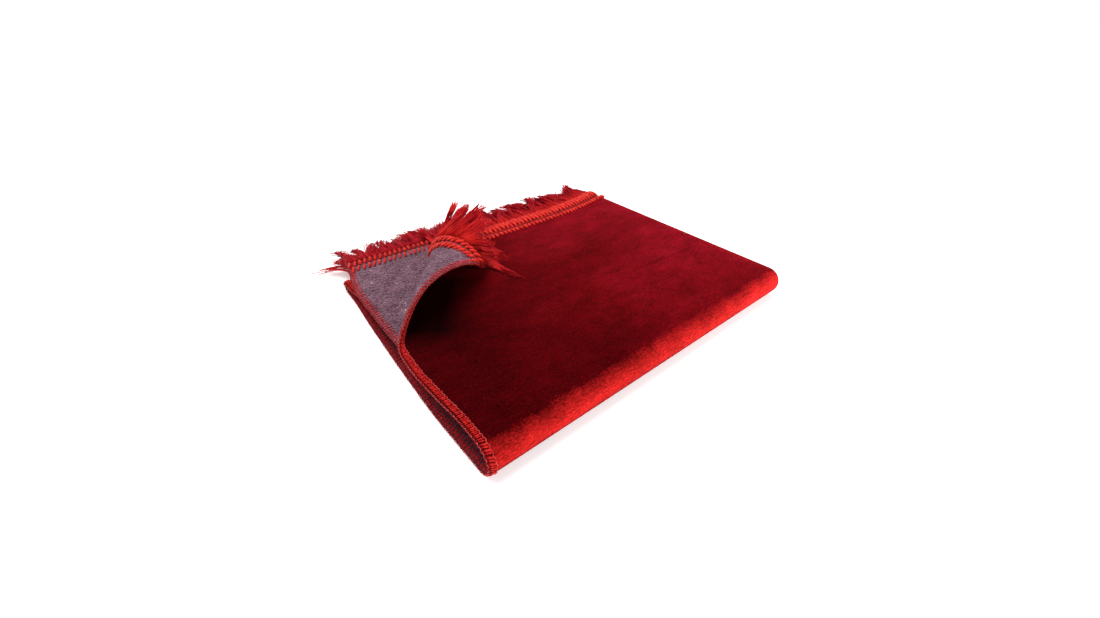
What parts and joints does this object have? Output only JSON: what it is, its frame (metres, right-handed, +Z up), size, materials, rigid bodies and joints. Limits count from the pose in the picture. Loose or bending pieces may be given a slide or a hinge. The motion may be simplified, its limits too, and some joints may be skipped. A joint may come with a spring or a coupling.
{
  "type": "prayer rug",
  "caption": "Plush prayer rug with a felt backing, overlocked sides and fringed short ends, folded into a stack with one corner of the top layer curled over.",
  "frame": {"origin": "middle of the flat base of the folded stack", "axes": "+Z up; -X the side with the open overlocked edges, +X the side with the lengthwise fold, -Y the crosswise front folds, +Y the fringed ends"},
  "size_m": [0.3571, 0.3403, 0.0668],
  "materials": {
    "velvet": "cut-pile velvet, deep red",
    "felt": "needled recycled-fibre felt, grey-purple with pale flecks",
    "heading_yarn": "shiny looped braid, bright red",
    "fringe_yarn": "soft cut yarn, crimson",
    "overlock_thread": "overlock stitches along the long sides, red"
  },
  "bodies": {
    "root": {"velvet_face": "velvet", "felt_backing": "felt", "heading_a": "heading_yarn", "heading_b": "heading_yarn", "fringe_a": "fringe_yarn", "fringe_b": "fringe_yarn"}
  },
  "joints": []
}
